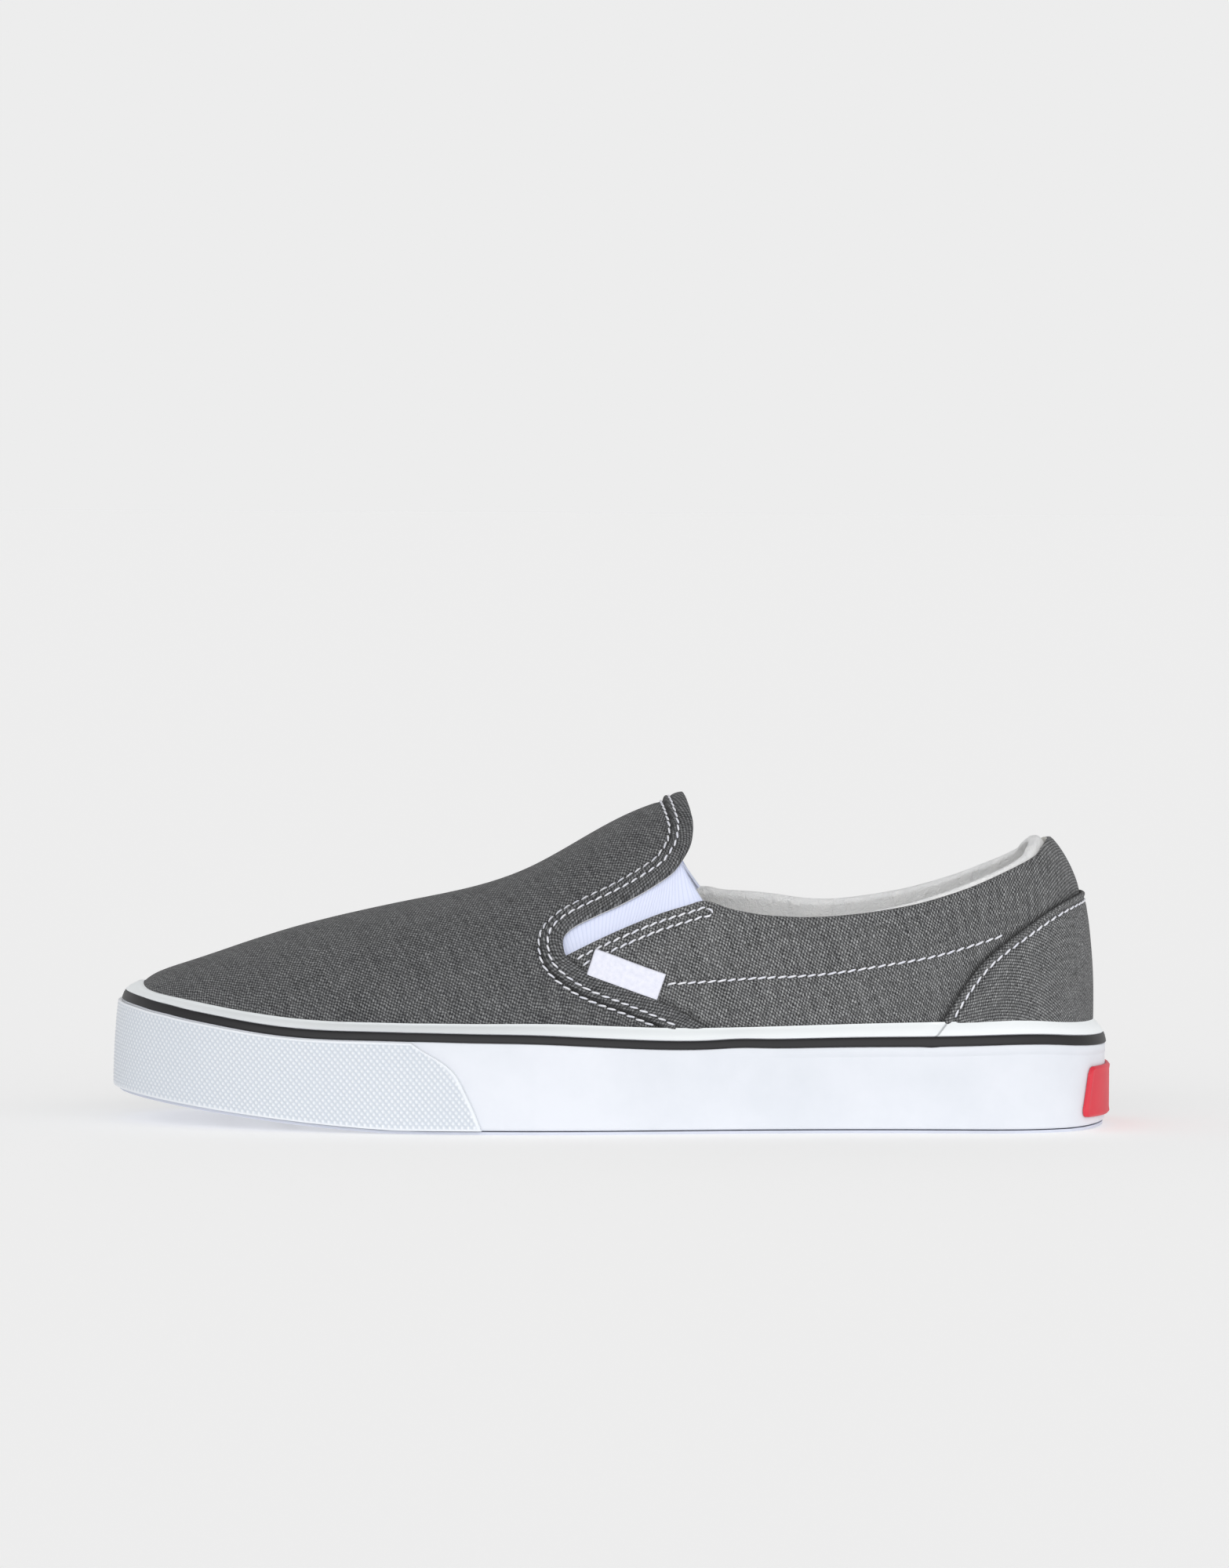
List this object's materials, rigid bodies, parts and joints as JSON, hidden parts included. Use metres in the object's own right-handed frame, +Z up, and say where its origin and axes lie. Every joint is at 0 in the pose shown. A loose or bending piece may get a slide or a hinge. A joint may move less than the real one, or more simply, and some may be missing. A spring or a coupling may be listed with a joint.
{
  "type": "slip-on sneaker",
  "caption": "Low slip-on sneaker with a grey canvas upper, elastic side gores, a padded collar and a flat white rubber sole with a dark line and a textured toe bumper.",
  "frame": {"origin": "on the floor below the middle of the shoe's length and width", "axes": "-X towards the toe, +X towards the heel, -Y towards the outer (lateral) side, +Z up"},
  "size_m": [0.291, 0.1068, 0.0966],
  "materials": {
    "outsole_rubber": "pale rubber with a fine matte grain",
    "white_rubber": "smooth semi-matte white rubber",
    "black_rubber": "satin black rubber line",
    "textured_rubber": "white rubber with a fine diamond texture",
    "red_rubber": "satin red rubber",
    "insole_fabric": "pale woven cover over foam",
    "canvas": "charcoal grey plain weave cotton canvas",
    "canvas_strip": "the same canvas, folded and double stitched",
    "canvas_panel": "the same canvas, stitched along its edge",
    "elastic": "white ribbed elastic",
    "lining": "soft white synthetic leather with fine wrinkles",
    "ribbon": "plain white woven ribbon"
  },
  "bodies": {
    "root": {"outsole": "outsole_rubber", "foxing": "white_rubber", "foxing_stripe": "black_rubber", "toe_bumper": "textured_rubber", "heel_patch": "red_rubber", "insole": "insole_fabric", "upper": "canvas", "vamp_facing": "canvas_strip", "heel_panel": "canvas_panel", "gore_lateral": "elastic", "gore_medial": "elastic", "collar_lining": "lining", "side_tab": "ribbon"}
  },
  "joints": []
}
